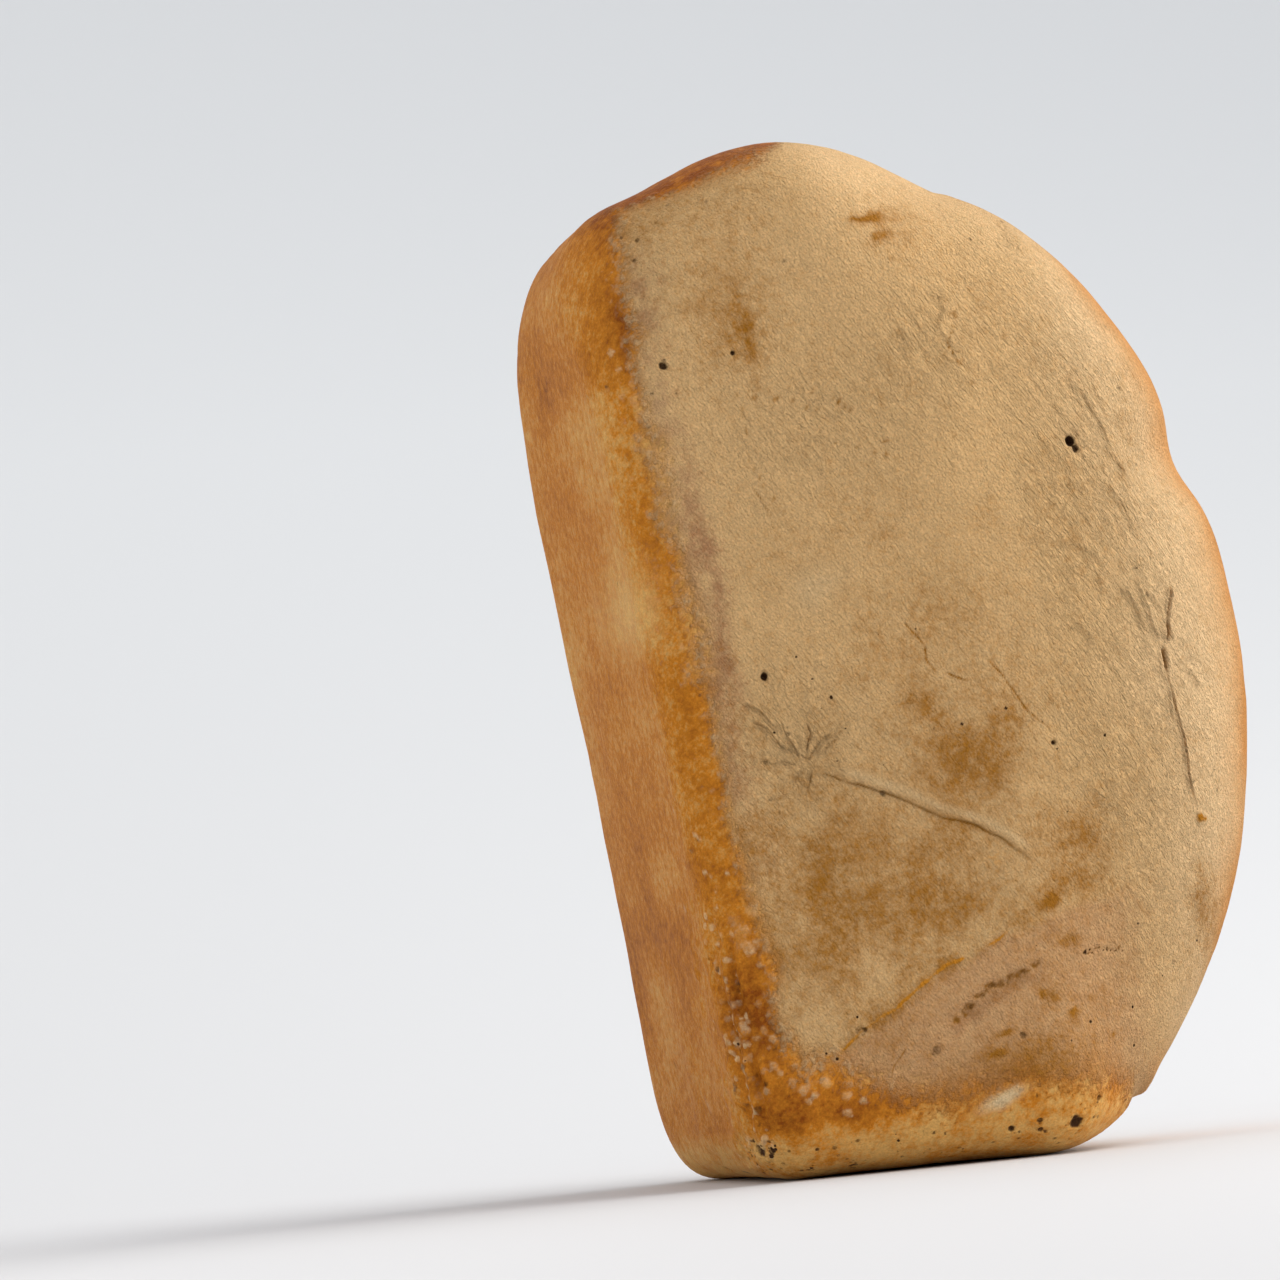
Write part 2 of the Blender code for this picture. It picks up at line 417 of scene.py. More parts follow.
class Crust:
    """The loaf's points in the tin, with how far each is raised and how it is baked."""

    TINTS = (
        "skin", "bake_and_highlight", "pale_skin_and_highlight", "blush", "stain", "pink",
        "lilac", "flour", "ember", "char", "crinkle",
    )

    def __init__(self, points):
        self.points = points
        self.flat = points[:, [0, 2]]
        self.near = points[:, 1] < 0.0
        self.height = np.zeros(len(points))
        self.bumps = np.zeros(len(points))
        self.pits = np.zeros(len(points))
        self.tints = {name: np.zeros(len(points)) for name in self.TINTS}
        self.tree = kdtree.KDTree(len(points))
        for index, point in enumerate(points):
            self.tree.insert(point, index)
        self.tree.balance()
        self.near_index = np.flatnonzero(self.near)
        self.wander = np.stack([lumps(points, 3.0, 51), lumps(points, 3.0, 52)], axis=1)
        self.ragged = 1.0 + 0.3 * lumps(points, 0.9, 54)

    def on_near_wall(self, x, z):
        """The near wall's surface at this length and height."""
        gaps = ((self.flat[self.near_index] - (x, z)) ** 2).sum(axis=1)
        return self.points[self.near_index[gaps.argmin()]]

    def dab(self, centre, radius, lift=0.0, rim=0.0, **tints):
        """Raise or sink a round spot, with a raised rim if wanted, and tint it."""
        found = self.tree.find_range(centre, radius * 2.2)
        if not found:
            return
        index = np.array([hit[1] for hit in found])
        gap = np.array([hit[2] for hit in found]) / radius * self.ragged[index]
        raised = max(lift, 0.0) * np.clip(1.0 - gap**2, 0.0, 1.0) ** 0.8
        raised = np.maximum(raised, rim * bell(gap - 1.3, 0.35))
        self.bumps[index] = np.maximum(self.bumps[index], raised)
        self.pits[index] = np.minimum(self.pits[index], min(lift, 0.0) * bell(gap, 0.75))
        for name, amount in tints.items():
            field = self.tints[name]
            field[index] = np.maximum(field[index], amount * smoothstep(1.35, 0.6, gap))

    def relief(self):
        """How far each point is raised in all, where neither bumps nor pits pile up."""
        return self.height + self.bumps + self.pits

    def scatter(self, zone, count, seed):
        """Places on the crust picked at random where the zone is strong."""
        random = np.random.default_rng(seed)
        return random, self.points[random.choice(len(zone), count, p=zone / zone.sum())]

    def sprinkle(self, zone, count, seed, sizes, lift, tint, amounts, **tints):
        """Dab spots where the zone is strong, each of a random size and tint."""
        random, places = self.scatter(zone, count, seed)
        for place in places:
            radius = random.uniform(*sizes)
            self.dab(place, radius, lift, **{tint: random.uniform(*amounts)}, **tints)

    def crease(self, path, width, depth, lip, shade):
        """Sink a tapered groove along the path with a raised lip on both sides, and darken the
        groove with painted shade.
        """
        gap, share = stroke(self.flat + 0.4 * self.wander, path)
        fade = smoothstep(0.0, 0.15, share) * smoothstep(0.0, 0.22, 1.0 - share)
        fade = np.where(self.near, 0.15 * (gap < 4 * width) + 0.85 * fade, 0.0)
        fade = fade * np.clip(0.85 + 0.6 * self.wander[:, 0], 0.25, 1.3)
        groove, lips = bell(gap, width), bell(gap - 1.9 * width, width)
        self.height += fade * depth * (lip * lips - groove)
        self.tints["stain"] += fade * shade * groove


def raise_crust(crust, settings):
    """Lift and sink the crust: lumps, rim lip, wrinkles, creases, holes and blisters."""
    points, flat, tints = crust.points, crust.flat, crust.tints
    near = crust.near.astype(float)
    x, y, z = points.T
    wall = near * smoothstep(6.0, 14.0, z) * smoothstep(96.0, 88.0, x)
    unevenness = settings.unevenness / MM
    wrinkle = settings.wrinkle_height / MM
    depth = settings.crease_depth / MM
    blister = settings.blister_height / MM
    lip = settings.rim_lip / MM
    height = crust.height  # raised and sunk in place
    height += unevenness * (lumps(points, 34.0, 1) + 0.35 * lumps(points, 13.0, 2))
    height += 0.1 * lumps(points, 5.0, 3)

    # The dome's skirt stands over the tin's rim at both ends and leaves a notch under it.
    ends = smoothstep(96.0, 106.0, np.abs(x))
    edge = 91.0 + 1.5 * lumps(points, 9.0, 4)
    height += ends * lip * (smoothstep(-2.0, 1.5, z - edge) * bell(z - edge - 1.0, 7.0))
    height -= ends * 0.8 * lip * bell(z - edge + 2.6, 1.8)
    far_wall = (1.0 - near) * smoothstep(30.0, 50.0, y)
    height += 0.35 * lip * far_wall * bell(z - edge, 5.0)

    # The rim also left a step by the head end, whose outline swells and hollows, and the
    # dome sank a little before it.
    crust.dab(crust.on_near_wall(-83, 100.5), 4.0, lift=0.9)
    crust.dab(crust.on_near_wall(-88, 98.5), 2.0, lift=-1.1)
    head = smoothstep(-86.0, -108.0, x) * smoothstep(10.0, -26.0, y)
    height += head * (
        2.1 * bell(z - 45.0, 13.0) - 2.0 * bell(z - 20.0, 10.0) - 2.2 * bell(z - 90.0, 15.0)
    )
    dent = smoothstep(106.0, 123.0, z) * smoothstep(8.0, -20.0, y)
    height -= 3.6 * dent * bell(x + 31.0, 10.5)

    # Fine wrinkles run nearly along the loaf, climbing about a third of a step for each step.
    climb = 0.36
    across = z - climb * x + 1.6 * lumps(points, 12.0, 5)
    grain = np.stack([x + climb * z, across], axis=1)
    fine = 0.55 * lumps(grain, (5.0, 0.9), 6) + 0.35 * lumps(grain, (11.0, 2.4), 7)
    zone = wall * (
        0.10
        + 0.95 * oval(flat, 18, 97, 44, 13)
        + 1.1 * oval(flat, -38, 102, 26, 11)
        + 1.0 * oval(flat, -62, 71, 15, 11)
        + 0.5 * oval(flat, -20, 92, 16, 10)
    )
    height += wrinkle * zone * fine
    knot = oval(flat, 18, 26, 9, 9)
    knot_turn = np.arctan2(z - 26.0, x - 20.5)
    knot_gap = np.hypot(z - 26.0, x - 20.5)
    rays = lumps(np.stack([knot_turn * 5.0, knot_gap * 0.16], axis=1), 1.0, 10)
    height += 0.7 * wrinkle * near * knot * rays * smoothstep(0.5, 3.0, knot_gap)
    crumple = lumps(points, 2.6, 8) * lumps(points, 4.4, 9)
    height += 0.6 * wrinkle * wall * crumple * (
        oval(flat, -62, 70, 14, 10) + 0.6 * oval(flat, -20, 95, 18, 12)
    )
    # Painted shade darkens the fine wrinkles' hollows.
    tints["stain"] += 0.05 * wrinkle * zone * np.clip(-fine, 0.0, 1.0)

    # Each kind of mark: its paths, its width, how far it sinks, its lips' height, and how much
    # painted shade darkens its groove.
    for paths, width, sink, lip_height, shade in (
        (STAR_RAYS, 0.17, 0.22, 1.5, 0.14),
        ((LONG_CREASE,), 0.17, 0.3, 0.8, 0.5),
        ((SHOULDER_CREASE,), 0.22, 0.42, 1.6, 0.25),
        ((UPPER_CREASE,), 0.3, 0.7, 1.2, 0.4),
        (FOLD_PITS, 0.55, 1.5, 0.5, 0.9),
        (SHOULDER_RAYS, 0.22, 0.3, 1.6, 0.12),
        (HAIR_CRACKS, 0.17, 0.22, 0.3, 0.8),
        ((DENT_ARC,), 2.0, 1.3, 0.2, 0.15),
        (BASE_EDGE_CREASES, 0.7, 1.3, 0.8, 0.5),
    ):
        for path in paths:
            crust.crease(path, width, sink * depth, lip_height, shade)
    tints["lilac"] += 0.55 * near * bell(stroke(flat, DENT_ARC)[0], 2.0)
    random = np.random.default_rng(26)
    # The torn edge's pits are darkened as a painted shadow under its serrated edge; the dots
    # beyond it are burnt.
    for path, count, size, darkness in ((TORN_EDGE, 30, 0.55, 0.5), (BURNT_DOTS, 15, 0.34, 1.0)):
        lengthwise, upward = np.array(path, dtype=float).T
        stops = np.arange(len(path))
        for stop in np.linspace(0.0, len(path) - 1.0, count):
            torn_x = np.interp(stop, stops, lengthwise) + size * random.uniform(-1.4, 1.4)
            place = crust.on_near_wall(torn_x, np.interp(stop, stops, upward))
            radius = size * random.uniform(0.5, 1.6)
            darkened = darkness * random.uniform(0.45, 1.0)
            crust.dab(place, radius, lift=-0.8 * radius, stain=0.8, char=darkened)

    # The long crease is a fold: the skin on its dome side stands higher, and flour lies there.
    gap, share = stroke(flat, LONG_CREASE)
    dome_side = near * (x < line_of(sorted((b, a) for a, b in LONG_CREASE), z))
    dome_side *= smoothstep(0.02, 0.2, share) * smoothstep(1.0, 0.85, share)
    height += dome_side * 0.3 * bell(gap - 1.3, 1.1)
    tints["flour"] += dome_side * 0.5 * bell(gap - 1.9, 1.5)

    # The seam fold is a raised lip of dough that squeezed through and set, with a brown band
    # along it that is partly painted shade beside the lip.
    ragged = flat + 0.5 * crust.wander
    gap, share = stroke(ragged, SEAM_FOLD)
    fade = near * smoothstep(1.0, 0.8, share)
    broken = np.clip(0.62 + 0.95 * lumps(points, 2.6, 53), 0.1, 1.0)
    height += fade * 0.4 * bell(gap, 0.7) * (0.4 + 0.6 * broken)
    tints["ember"] += fade * broken * 1.05 * bell(gap, 0.45) * smoothstep(1.0, 0.7, share)
    tints["stain"] += near * 0.4 * bell(gap, 1.6) * (0.4 + 0.6 * broken)

    # Each hole is sunk, and its inside is darkened with the char tint, the more the deeper it
    # is: painted shade in the hole. A browner ring lies round it.
    for hole_x, hole_z, radius, sink in HOLES:
        place = crust.on_near_wall(hole_x, hole_z)
        crust.dab(place, radius, lift=-sink, rim=0.1, char=min(1.0, 0.4 + 0.4 * sink))
        crust.dab(place, 1.8 * radius, stain=0.35)
    for index, (speck_x, speck_z) in enumerate(SPECKS):
        place = crust.on_near_wall(speck_x, speck_z)
        crust.dab(place, 0.2 + 0.09 * (index % 3), lift=-0.12, char=0.85)
    for blister_x, blister_z, radius in BLISTERS:
        place = crust.on_near_wall(blister_x, blister_z)
        crust.dab(place, radius, lift=blister * 1.1, flour=0.42)
    crust.dab(crust.on_near_wall(48, 61.5), 1.9, lift=0.55, ember=0.35)
    crust.dab(crust.on_near_wall(47.5, 111), 1.1, lift=0.9, ember=0.8, flour=0.5)
    crust.dab(crust.on_near_wall(48.5, 112), 0.8, lift=0.6, ember=0.8)

    # Small blisters follow the edge of the pale skin.
    border = near * bell(tints["skin"] + 0.35, 0.35) * smoothstep(-110, -90, x)
    border *= smoothstep(92, 84, x) * smoothstep(40.0, 24.0, z)
    random, places = crust.scatter(border, 1000, 21)
    for place in places:
        radius = random.uniform(0.4, 1.15)
        crust.dab(place, radius, lift=blister * radius, flour=random.uniform(0.05, 0.38))
    golden = near * ((z < 12.0) & (y < NEAR_WALL)) * smoothstep(96, 80, x)
    crust.sprinkle(golden, 260, 22, (0.35, 0.95), 0.7 * blister, "flour", (0.0, 0.36))

    # Burnt specks lie thickest where the foot strip met the tin's corner.
    strip = near * smoothstep(94, 99, x) * smoothstep(96, 80, z)
    crust.sprinkle(strip, 150, 23, (0.2, 0.6), -0.2, "char", (0.15, 0.7))
    clusters = near * (oval(flat, 97.5, 3, 2.2, 2.6) + oval(flat, 103, 2.5, 2.2, 2.4))
    crust.sprinkle(clusters, 26, 28, (0.25, 0.6), -0.2, "char", (0.3, 0.85))

    # The corner where base and wall met is flaky: small pits, flakes and toasted spots.
    edge_line = near * bell(z - 1.5, 2.6) * smoothstep(10, 50, x)
    random, places = crust.scatter(edge_line, 420, 24)
    for index, place in enumerate(places):
        radius = random.uniform(0.3, 0.95)
        if index % 3:
            crust.dab(place, radius, lift=-0.22, stain=0.9, char=random.uniform(0.0, 0.45))
        else:
            crust.dab(place, radius, lift=0.3, flour=random.uniform(0.2, 0.6))
    base = smoothstep(2.5, 0.5, z)
    crust.sprinkle(base, 90, 29, (0.4, 1.3), -0.25, "char", (0.1, 0.5), stain=0.8)
    crust.sprinkle(np.ones(len(x)), 160, 25, (0.4, 0.8), -0.12, "char", (0.2, 0.6))


def bake_crust(crust):
    """Say how pale, toasted, pink, grey or floury the crust is at each point."""
    points, tints, near = crust.points, crust.tints, crust.near
    x, y, z = points.T
    wavy = points + 2.2 * np.stack(
        [lumps(points, 8.0, 31), np.zeros(len(x)), lumps(points, 8.0, 32)], axis=1
    )
    wx, _, wz = wavy.T
    flat = wavy[:, [0, 2]]

    # The pale skin covers both long walls and most of the dome's slopes above them, and
    # its edge is more ragged on the far wall. The ends and the crown baked golden.
    ragged_far_wall = 2.0 + 3.5 * lumps(points, 18.0, 51)
    base_gap = wz - line_of(SKIN_BASE_LINE, x) - np.where(near, 0.0, ragged_far_wall)
    foot_gap = 0.45 * (line_of(SKIN_FOOT_LINE, z) - wx)
    head_gap = wx - line_of(SKIN_HEAD_LINE, z)
    above_tin = np.where(x < 0.0, z > 50.0, z > 96.0)
    crown_gap = 0.42 * (np.abs(y) - 25.0 - 4.0 * lumps(points, 16.0, 33))
    crown_gap = np.where(above_tin, crown_gap, 20.0)
    edge = np.minimum(np.minimum(base_gap, foot_gap), np.minimum(head_gap, crown_gap))
    edge = np.where((np.abs(y) > 24.0) | above_tin, edge, -20.0)
    tints["skin"] = np.clip(edge / 4.0, -2.0, 2.0)

    outside = np.clip(-edge, 0.0, 30.0)
    blotch = lumps(points, 16.0, 34) + 0.5 * lumps(points, 6.0, 35)
    bake_and_highlight = 0.46 + 0.12 * blotch
    on_wall = near * smoothstep(-38.0, -46.0, y)
    # Darker low on the near wall towards the foot; lighter at the base edge towards the head,
    # a painted highlight where the glint falls.
    bake_and_highlight += 0.3 * on_wall * oval(flat, 74, 5, 26, 7) - 0.12 * oval(flat, -18, 0, 14, 5)
    bake_and_highlight += 0.26 * smoothstep(-58.0, -78.0, x) * bell(outside - 3.0, 3.2) * (z < 60)
    bake_and_highlight += 0.18 * smoothstep(-100.0, -109.0, x)
    crown = smoothstep(104.0, 122.0, z)
    bake_and_highlight += crown * (0.22 * smoothstep(0.0, 0.9, lumps(points, 24.0, 50)) - 0.16)
    base = smoothstep(4.0, 0.5, z)
    bake_and_highlight += base * (0.2 * lumps(points, (11.0, 26.0, 11.0), 48) - 0.04 * blotch + 0.02)
    # A lighter patch on the base by the near edge is a painted highlight where the glint
    # falls.
    bake_and_highlight -= 0.2 * base * bell(x + 32.0, 22.0) * bell(y + 40.0, 20.0)
    strip = smoothstep(92.0, 97.0, x) * smoothstep(104.0, 88.0, z)
    mottled = lumps(points, 5.0, 46) + 0.6 * lumps(points, 2.2, 47)
    bake_and_highlight = bake_and_highlight * (1.0 - strip) + strip * (0.20 + 0.10 * blotch + 0.14 * mottled)
    ridge, _ = stroke(flat, ((91, 8), (93, 20), (93, 50), (97, 70), (99, 84)))
    bake_and_highlight += 0.3 * bell(ridge, 4.6) * near * (0.8 + 0.4 * blotch)
    tints["bake_and_highlight"] = bake_and_highlight

    turn = smoothstep(46.0, 29.0, np.abs(y)) * smoothstep(104.0, 116.0, z)
    tints["blush"] = turn * (0.8 + 0.15 * lumps(points, 15.0, 44)) + 0.8 * smoothstep(
        88.0, 104.0, x
    ) * smoothstep(86.0, 94.0, z)
    tints["crinkle"] = np.clip(
        0.9 * oval(flat, 18, 97, 46, 15) + oval(flat, -38, 102, 28, 13)
        + oval(flat, -62, 71, 16, 12) + 0.8 * oval(flat, 15, 27, 14, 12)
        + 0.7 * oval(flat, -50, 42, 14, 16)
        + 0.35 * bell(np.abs(y) - 54.0, 20.0) * (z > 84),
        0.0, 1.0,
    )
    # The skin is painted paler towards the top, the shoulder and the upper ends: partly paler
    # skin, partly a painted highlight where light from above and the right falls.
    tints["pale_skin_and_highlight"] = np.clip(
        0.85 * smoothstep(84.0, 126.0, z)
        + 0.5 * smoothstep(-70.0, -105.0, x) * smoothstep(40.0, 66.0, z)
        + 0.35 * smoothstep(60.0, 105.0, x) * smoothstep(60.0, 100.0, z)
        + 0.12 * lumps(points, 20.0, 36),
        0.0, 1.0,
    )
    speckle = 1.25 + 0.4 * lumps(points, 5.0, 37) + 0.3 * lumps(points, 1.8, 38)
    sharper = crust.flat + 0.5 * crust.wander
    for patch_x, patch_z, half_x, half_z, strength in STAINS:
        ground = flat if min(half_x, half_z) > 4.0 else sharper
        mark = oval(ground, patch_x, patch_z, half_x, half_z)
        tints["stain"] += near * strength * speckle * mark
    low_wall = smoothstep(-60.0, 50.0, x) * smoothstep(100.0, 50.0, z)
    mottles = 0.9 * lumps(points, 20.0, 39) + 0.5 * lumps(points, 7.0, 45)
    tints["stain"] += (0.17 + 0.24 * low_wall) * np.clip(1.0 + mottles, 0.0, 2.0)
    tints["stain"] += 0.22 * smoothstep(-85, -100, x) * smoothstep(60, 30, z) * near
    far = (~near) * (np.abs(y) > 30)
    tints["stain"] += far * 0.3 * speckle * smoothstep(0.25, 0.8, lumps(points, 24.0, 40))

    seam_x = line_of(sorted((b, a) for a, b in SEAM_FOLD), z)
    below = smoothstep(-1.0, 3.0, wx - seam_x) * smoothstep(12.0, 20.0, z)
    tints["pink"] = near * np.clip(below * smoothstep(108, 78, z), 0.0, 1.0) * 0.85

    bloom = bell(wz - 13.0, 5.0) * smoothstep(-104, -90, x) * smoothstep(58, 34, x)
    bloom *= 0.58 + 0.5 * (bell(x + 27, 14) + bell(x - 4, 14) + 0.5 * bell(x + 88, 10))
    tints["lilac"] = near * bloom * (0.78 + 0.5 * lumps(points, 3.2, 41))
    tints["flour"] += near * (
        0.9 * oval(flat, 97, 53, 2.0, 6.0) + 0.45 * oval(flat, -17, 37, 7, 8)
        + 0.3 * oval(flat, 52, 5, 5, 1.4) + 0.25 * oval(flat, -20, 2, 14, 4)
        + 0.25 * oval(flat, -60, 14, 14, 3)
    )


def split_along(bm, axis, rows):
    """Cut every edge that runs along one axis into this many rows."""
    edges = [e for e in bm.edges if abs(e.verts[0].co[axis] - e.verts[1].co[axis]) > 1e-6]
    bmesh.ops.subdivide_edges(bm, edges=edges, cuts=rows - 1, use_grid_fill=True)


def cut_finer(bm, wanted):
    """Halve the edges of every face whose middle, as a tin place, is wanted."""
    bm.faces.ensure_lookup_table()
    middles = np.array([face.calc_center_median()[:] for face in bm.faces])
    chosen = np.flatnonzero(wanted(loaf_points(middles)))
    edges = {edge for index in chosen for edge in bm.faces[index].edges}
    bmesh.ops.subdivide_edges(bm, edges=list(edges), cuts=1, use_grid_fill=True)


def inside(points, patch):
    """Whether each tin place is within a patch of the long wall."""
    x_low, z_low, x_high, z_high = patch
    flat = points[:, [0, 2]]
    return ((flat > (x_low, z_low)) & (flat < (x_high, z_high))).all(axis=1)


def on_near_side(points):
    """Whether each tin place is on the near side, rounded edges included."""
    return points[:, 1] < NEAR_SIDE


def by_speck(points, reach):
    """Whether each tin place is within reach of a hole or speck's edge."""
    flat = points[:, [0, 2]]
    found = np.zeros(len(points), dtype=bool)
    for spot_x, spot_z, radius, *_ in (*HOLES, *((*speck, 0.4) for speck in SPECKS)):
        found |= np.hypot(flat[:, 0] - spot_x, flat[:, 1] - spot_z) < 1.4 * radius + reach
    return found & (points[:, 1] < NEAR_EDGE)


def on_marked_wall(points):
    """Whether each tin place is on the near wall, outside its calm middle."""
    calm = inside(points, CALM_PATCH) & ~inside(points, WRINKLED_PATCHES[0])
    calm &= ~by_speck(points, 1.5)
    return (points[:, 1] < NEAR_WALL) & ~calm


def on_drawn_mark(points):
    """Whether each tin place is by a drawn mark or among fine wrinkles."""
    flat = points[:, [0, 2]]
    marks = (
        *STAR_RAYS, LONG_CREASE, SHOULDER_CREASE, UPPER_CREASE, *SHOULDER_RAYS,
        *HAIR_CRACKS, SEAM_FOLD, TORN_EDGE, BURNT_DOTS, *BASE_EDGE_CREASES,
    )
    found = np.zeros(len(points), dtype=bool)
    for path in marks:
        found |= stroke(flat, path)[0] < MARK_REACH
    for patch in WRINKLED_PATCHES:
        found |= inside(points, patch)
    return (found & (points[:, 1] < NEAR_EDGE)) | by_speck(points, 0.7)


def on_thin_line(points):
    """Whether each tin place is on a thin crease, a hair crack or a speck."""
    flat = points[:, [0, 2]]
    found = np.zeros(len(points), dtype=bool)
    cracks = HAIR_CRACKS[:SHARP_CRACKS]
    for path in (*STAR_RAYS, LONG_CREASE, *cracks, SHOULDER_CREASE, UPPER_CREASE):
        found |= stroke(flat, path)[0] < THIN_LINE_REACH
    return (found & (points[:, 1] < NEAR_EDGE)) | by_speck(points, 0.2)


def node(tree, kind, inputs=(), output=0, **settings):
    """Add a node with its settings and its inputs, values or links, and return an output."""
    made = tree.nodes.new("ShaderNode" + kind)
    for name, value in settings.items():
        setattr(made, name, value)
    for name, value in dict(inputs).items():
        if isinstance(value, bpy.types.NodeSocket):
            tree.links.new(value, made.inputs[name])
        else:
            made.inputs[name].default_value = value
    return made.outputs[output]


def crust_material(settings):
    """Wheat bread crust, baked against oiled tin: matt floury skin, satin golden edges.

    Bread crust is a starch glass over crumb: IOR near 1.45, and rough where flour and
    steam dulled it, smoother where it fried against the tin.
    """
    material = bpy.data.materials.new("wheat bread crust baked in a tin")
    material.use_nodes = True
    tree = material.node_tree
    shader = tree.nodes["Principled BSDF"]
    place = node(tree, "TexCoord", output="Object")
    tints = {
        name: node(tree, "Attribute", output="Fac", attribute_name=name)
        for name in Crust.TINTS
    }

    # Patterns that stretch along the surface: how far each leans and how long it is drawn.
    leant = {}
    for name, lean, length in (
        ("streak", 45.0, 2.4),
        ("leather", -30.0, 1.8),
        ("wrinkle", -35.0, 4.5),
    ):
        leant[name] = node(
            tree, "Mapping",
            {"Vector": place, "Rotation": (0, radians(lean), 0), "Scale": (1, 1, length)},
            vector_type="TEXTURE",
        )

    # Broad mottles 12 mm across, blotches 3 mm, flecks 1 mm, and the 0.45 mm flour
    # grain, drawn about twice as coarse as real flour so that it shows. Streaks of
    # stretched dough are 2 mm long and 0.9 mm wide, and folds 1 to 2.6 mm apart.
    grains = {}
    for name, vector, size, detail, roughness in (
        ("mottle", place, 12.0, 3.0, 0.5),
        ("blotch", place, 2.8, 5.0, 0.65),
        ("fleck", place, 1.1, 3.0, 0.65),
        ("dust", place, 0.45, 2.0, 0.6),
        ("streak", leant["streak"], 0.85, 3.0, 0.6),
        ("leather", leant["leather"], settings.grain / MM, 3.0, 0.6),
        ("wrinkle", leant["wrinkle"], 1.0, 3.0, 0.6),
        ("fold", leant["wrinkle"], 2.6, 4.0, 0.6),
    ):
        inputs = {"Vector": vector, "Scale": 1.0 / (size * MM)}
        inputs |= {"Detail": detail, "Roughness": roughness}
        grains[name] = node(tree, "TexNoise", inputs)

    # Toast and edge are the grains that break up the layers' borders. Baked is how long
    # each place baked: the grains rest at 0.5, so half of their strengths is taken off.
    for name, operation, *inputs in (
        ("toast", "ADD", "blotch", "fleck"),
        ("toast", "MULTIPLY", "toast", 0.5),
        ("edge", "MULTIPLY_ADD", "streak", 0.35, "toast"),
        ("edge", "DIVIDE", "edge", 1.35),
        ("baked", "MULTIPLY_ADD", "blotch", 0.95, tints["bake_and_highlight"]),
        ("baked", "MULTIPLY_ADD", "streak", 0.45, "baked"),
        ("baked", "MULTIPLY_ADD", "fleck", 0.8, "baked"),
        ("baked", "SUBTRACT", "baked", 1.1),
    ):
        inputs = {slot: grains.get(value, value) for slot, value in enumerate(inputs)}
        grains[name] = node(tree, "Math", inputs, operation=operation)

    # The golden crust runs from light tan to dark brown by how long it baked.
    golden = node(tree, "ValToRGB", {0: grains["baked"]})
    ramp = golden.node.color_ramp
    ramp.elements[0].position, ramp.elements[0].color = 0.08, (*settings.tan, 1.0)
    ramp.elements[1].position, ramp.elements[1].color = 0.95, (*settings.brown, 1.0)
    ramp.elements.new(0.48).color = (*settings.gold, 1.0)

    # Layers over the plain skin, each with its tint, the grain that breaks its edge up,
    # how far, and the tint values where it starts and is full. The skin itself then
    # covers the golden crust, and flour, seam and char lie on both.
    look = (*settings.skin, 1.0)
    for name, grain, ragged, start, full, colour in (
        # Paler upper skin, partly a painted highlight.
        ("pale_skin_and_highlight", "mottle", 0.25, 0.0, 1.0, settings.shoulder),
        ("blush", "mottle", 0.4, 0.0, 1.1, settings.blush),
        ("pink", "blotch", 0.7, 0.15, 1.1, settings.pink),
        ("lilac", "edge", 2.6, 0.1, 1.2, settings.lilac),
        ("stain", "toast", 2.4, 0.02, 1.25, settings.stain),
        ("skin", "edge", 3.8, -0.75, 0.6, None),
        ("flour", "toast", 1.2, 0.1, 1.0, settings.flour),
        ("ember", "fleck", 0.6, 0.15, 0.85, settings.ember),
        ("char", "fleck", 0.6, 0.25, 0.8, settings.char),
    ):
        uneven = node(tree, "Math", {0: grains[grain], 1: 0.5}, operation="SUBTRACT")
        strength = node(
            tree, "Math", {0: uneven, 1: ragged, 2: tints[name]},
            operation="MULTIPLY_ADD",
        )
        share = node(
            tree, "MapRange", {0: strength, 1: start, 2: full},
            interpolation_type="SMOOTHSTEP",
        )
        if name == "skin":
            covered = share
            under, over = golden, look
        else:
            under, over = look, (*colour, 1.0)
        look = node(
            tree, "Mix", {0: share, 6: under, 7: over}, output=2, data_type="RGBA"
        )

    # Shrunken skin folds along thin lines, where a drawn-out noise crosses its middle.
    folds = 1.0
    for name in ("fold", "wrinkle"):
        gap = node(tree, "Math", {0: grains[name], 1: 0.5}, operation="SUBTRACT")
        gap = node(tree, "Math", {0: gap}, operation="ABSOLUTE")
        gap = node(
            tree, "MapRange", {0: gap, 1: 0.0, 2: 0.06}, interpolation_type="SMOOTHSTEP"
        )
        folds = node(tree, "Math", {0: folds, 1: gap}, operation="MULTIPLY")

    # Flour and fine pores make every colour grainy. The crust is satin where it fried
    # against the tin and matt where flour lies. The skin's leathery grain is deeper where
    # the mesh says that it is crinkled, and the golden crust has only its streaks.
    for name, operation, *inputs in (
        ("shade", "MULTIPLY_ADD", "fleck", 0.6, 0.37),
        ("shade", "MULTIPLY_ADD", "dust", 0.7, "shade"),
        ("rough", "MULTIPLY_ADD", covered, 0.16, 0.46),
        ("rough", "MULTIPLY_ADD", "fleck", 0.16, "rough"),
        ("folded", "MULTIPLY_ADD", folds, 0.34, "wrinkle"),
        ("crinkled", "MULTIPLY_ADD", tints["crinkle"], 1.1, 0.38),
        ("folded", "MULTIPLY", "folded", "crinkled"),
        ("relief", "MULTIPLY_ADD", "leather", 1.1, "folded"),
        ("relief", "MULTIPLY", "relief", covered),
        ("relief", "MULTIPLY_ADD", "streak", 0.3, "relief"),
    ):
        inputs = {slot: grains.get(value, value) for slot, value in enumerate(inputs)}
        grains[name] = node(tree, "Math", inputs, operation=operation)
    shade = node(tree, "CombineColor", {slot: grains["shade"] for slot in range(3)})
    look = node(
        tree, "Mix", {0: 1.0, 6: look, 7: shade}, output=2,
        data_type="RGBA", blend_type="MULTIPLY",
    )
    tree.links.new(look, shader.inputs["Base Color"])
    tree.links.new(grains["rough"], shader.inputs["Roughness"])
    shader.inputs["IOR"].default_value = 1.45
